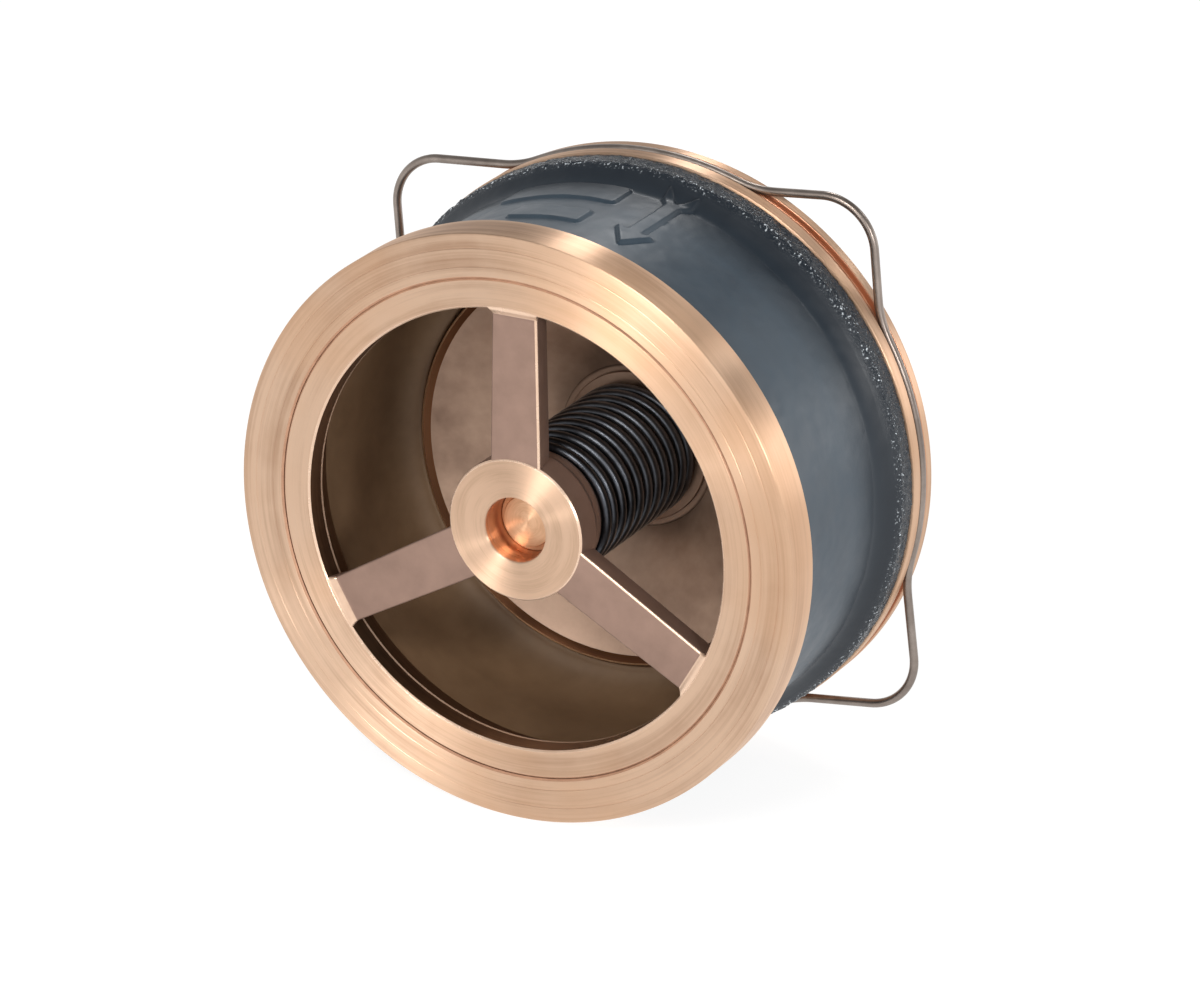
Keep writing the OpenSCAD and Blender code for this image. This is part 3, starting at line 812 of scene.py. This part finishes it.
def nut():
    """Lock nut: a hexagon whose corners are turned to a cone on the outer face, with a thread relief."""
    flat_r = NUT_FLATS / 2
    corner_r = flat_r / math.cos(math.radians(30))
    hole_r = float(THREAD_R)
    segs = 120
    # each ring: depth, round or hexagonal, and its radius or the radius that turns its corners off
    rings = (
        (0.0, "round", hole_r + 0.3), (0.0, "hexagon", corner_r - 0.05), (NUT_H - 1.5, "hexagon", corner_r),
        (NUT_H, "hexagon", flat_r - 0.4), (NUT_H, "round", hole_r + 0.8), (NUT_H - 0.8, "round", hole_r),
        (0.5, "round", hole_r),
    )
    verts = []
    for depth, shape, radius in rings:
        for k in range(segs):
            a = 2 * math.pi * k / segs
            r = radius
            if shape == "hexagon":
                from_flat = (a + math.pi / 6) % (math.pi / 3) - math.pi / 6
                r = min(flat_r / math.cos(from_flat), radius + 0.25)
            verts.append((r * math.cos(a) * MM, -(PLATE_UNDER - depth) * MM, r * math.sin(a) * MM))
    faces = []
    for i in range(len(rings)):
        here, there = i * segs, (i + 1) % len(rings) * segs
        for k in range(segs):
            m = (k + 1) % segs
            faces.append((here + k, here + m, there + m, there + k))
    return finish_mesh(
        "stem_nut_detail", verts, faces, "disc_assembly", [steel_nut], [0] * len(faces), 25.0, ("stem_nut",))


lock = nut()


# ---------------------------------------------------------------- spring
def coil():
    """The closing spring, with its first and last turns closed up."""
    half = SPRING_WIRE / 2
    rc = SPRING_R - half
    lo, hi = SHOULDER + FIT, HUB_BACK - FIT
    span = hi - lo - SPRING_WIRE
    end_pitch = SPRING_WIRE + 0.1
    pitch = (span - 2 * end_pitch) / (SPRING_TURNS - 2)
    steps = int(SPRING_TURNS * 72)
    points, frames = [], []
    for i in range(steps + 1):
        t = SPRING_TURNS * i / steps
        a = 2 * math.pi * t + math.radians(SPRING_PHASE)
        if t < 1:
            s = end_pitch * t
        elif t > SPRING_TURNS - 1:
            s = span - end_pitch * (SPRING_TURNS - t)
        else:
            s = end_pitch + pitch * (t - 1)
        s += lo + half
        points.append((rc * math.cos(a) * MM, -s * MM, rc * math.sin(a) * MM))
        frames.append(((math.cos(a), 0, math.sin(a)), (0, -1, 0)))
    return tube("spring_detail", points, frames, half * MM, "valve_body", spring_mat, ("spring",))


spring = coil()
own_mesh(spring)


# ---------------------------------------------------------------- centring wire
def ear(tip):
    """Points of one ear along +X, and the angle at which its foot leaves the groove.

    Straight flanks at 45 degrees join the bend at the tip to a wide foot bend, which is tangent to the groove.
    """
    tip_c = tip - EAR_BEND
    diagonal = tip_c + EAR_BEND * math.sqrt(2) + EAR_FOOT * math.sqrt(2)
    foot_d = WIRE_R + EAR_FOOT
    foot_x = (diagonal + math.sqrt(2 * foot_d * foot_d - diagonal * diagonal)) / 2
    foot_y = foot_x - diagonal
    foot_a = math.degrees(math.atan2(foot_y, foot_x))
    half = []
    for i in range(14):
        a = math.radians(180 + foot_a + (135 - 180 - foot_a) * i / 13)
        half.append((foot_x + EAR_FOOT * math.cos(a), foot_y + EAR_FOOT * math.sin(a)))
    for i in range(17):
        a = math.radians(-45 + 45 * i / 16)
        half.append((tip_c + EAR_BEND * math.cos(a), EAR_BEND * math.sin(a)))
    return half + [(x, -y) for x, y in half[-2::-1]], foot_a


def wire():
    """The centring wire, from one side of its split round through the four ears to the other side."""

    def turn(p, a):
        c, s = math.cos(math.radians(a)), math.sin(math.radians(a))
        return (p[0] * c - p[1] * s, p[0] * s + p[1] * c)

    def arc(a0, a1):
        n = max(2, int((a1 - a0) / 1.5))
        return [turn((WIRE_R, 0), a0 + (a1 - a0) * i / n) for i in range(1, n)]

    order = [EARS[3], EARS[0] + 360, EARS[1] + 360, EARS[2] + 360]
    ears = [ear(REACH[k]) for k in (3, 0, 1, 2)]
    start, end = SPLIT_A + SPLIT_HALF, SPLIT_A + 360 - SPLIT_HALF
    path = [turn((WIRE_R, 0), start)] + arc(start, order[0] + ears[0][1])
    for k in range(4):
        path += [turn(q, order[k]) for q in ears[k][0]]
        if k < 3:
            path += arc(order[k] - ears[k][1], order[k + 1] + ears[k + 1][1])
    path += arc(order[3] - ears[3][1], end) + [turn((WIRE_R, 0), SPLIT_A - SPLIT_HALF)]
    points, frames = [], []
    for i, p in enumerate(path):
        before, after = path[max(i - 1, 0)], path[min(i + 1, len(path) - 1)]
        dx, dz = after[0] - before[0], after[1] - before[1]
        d = math.hypot(dx, dz)
        points.append((p[0] * MM, -WIRE_S * MM, p[1] * MM))
        frames.append(((dz / d, 0, -dx / d), (0, -1, 0)))
    return tube(
        "centring_wire_detail", points, frames, WIRE_HALF * MM, "wire_ring", wire_mat, ("centring_wire",))


ring_wire = wire()

# ---------------------------------------------------------------- stage
AZ, EL = math.radians(27.91), math.radians(21.98)
FLOOR_Z = -RING_R * MM
FLOOR_HALF = 9


def stage():
    """A flat sheet of paper that the valve stands on, turned square to the camera."""
    a = math.radians(27.9)
    across, away = Vector((math.cos(a), math.sin(a), 0)), Vector((-math.sin(a), math.cos(a), 0))
    verts = []
    for d in (-FLOOR_HALF, FLOOR_HALF):
        for side in (-FLOOR_HALF, FLOOR_HALF):
            p = across * side + away * d
            verts.append((p.x, p.y, FLOOR_Z))
    me = bpy.data.meshes.new("floor")
    me.from_pydata(verts, [], [(0, 1, 3, 2)])
    me.shade_smooth()
    ob = add_object("floor", me)
    m, shader, n = material("floor_paper")
    n.link(n.ramp(n.noise(n.pos(), 3.0, 2.0), (0.3, 0.19), (0.7, 0.21)), shader["Base Color"])
    shader["Roughness"].default_value = 0.9
    shader["Specular IOR Level"].default_value = 0.1
    shader["Emission Color"].default_value = (1, 1, 1, 1)
    shader["Emission Strength"].default_value = 0.88
    me.materials.append(m)


stage()


def area(name, where, at, size, power, colour=(1, 1, 1), size_y=None):
    """A rectangular light at where that looks at a point and isn't seen itself."""
    light = bpy.data.lights.new(name, "AREA")
    light.energy = power
    light.color = colour
    light.shape = "RECTANGLE"
    light.size = size
    light.size_y = size_y or size
    ob = add_object(name, light)
    ob.location = where
    ob.rotation_mode = "QUATERNION"
    ob.rotation_quaternion = (Vector(at) - Vector(where)).to_track_quat("-Z", "Y")
    ob.visible_camera = False


centre = (0, -0.07, 0)
area("key", (0.16, -1.75, 1.2), (0, -0.14, 0), 0.7, 18, (1, 0.985, 0.96), 0.45)
area("low_fill", (-0.3, -1.95, 0.3), (0, -0.1, 0), 0.9, 5, (1, 0.99, 0.97))
area("side_front", (1.55, -1.2, 0.5), centre, 0.3, 10, (1, 0.99, 0.98))
area("back_top", (-0.5, 1.4, 1.5), centre, 0.32, 7)
area("back_shoulder", (1.1, 1.35, 1.25), centre, 0.32, 2)
area("back_right", (1.5, 1.6, 0.1), centre, 0.9, 5, (0.98, 0.99, 1))

# the sky is bright low down and dims with height
world = bpy.data.worlds.new("studio")
world.use_nodes = True
background = world.node_tree.nodes["Background"]
background.inputs[0].default_value = (1, 1, 1, 1)
sky = Nodes(world.node_tree)
height = sky.split(world.node_tree.nodes.new("ShaderNodeTexCoord").outputs["Generated"])[2]
sky.link(sky.span(height, 0.2, 0.62, 1.0, 0.36), background.inputs[1])
bpy.context.scene.world = world
bpy.context.scene.view_settings.view_transform = "Standard"

# ---------------------------------------------------------------- camera, in units of the ring's radius
CAM_BACK, CAM_RIGHT, CAM_UP = 20, 0.2812, 0.1032
back = Vector((math.sin(AZ) * math.cos(EL), -math.cos(AZ) * math.cos(EL), math.sin(EL)))
right = Vector((math.cos(AZ), math.sin(AZ), 0))
up = back.cross(right)
outlet_centre = Vector((0, -LENGTH * MM, 0))
place = outlet_centre + RING_R * MM * (CAM_BACK * back + CAM_RIGHT * right + CAM_UP * up)
cam_data = bpy.data.cameras.new("camera")
cam_data.sensor_width = 36.0
cam_data.lens = 187.74
cam_data.clip_start, cam_data.clip_end = 0.05, 100
cam = add_object("camera", cam_data)
cam.matrix_world = Matrix.Translation(place) @ Matrix((right, up, back)).transposed().to_4x4()
bpy.context.scene.camera = cam
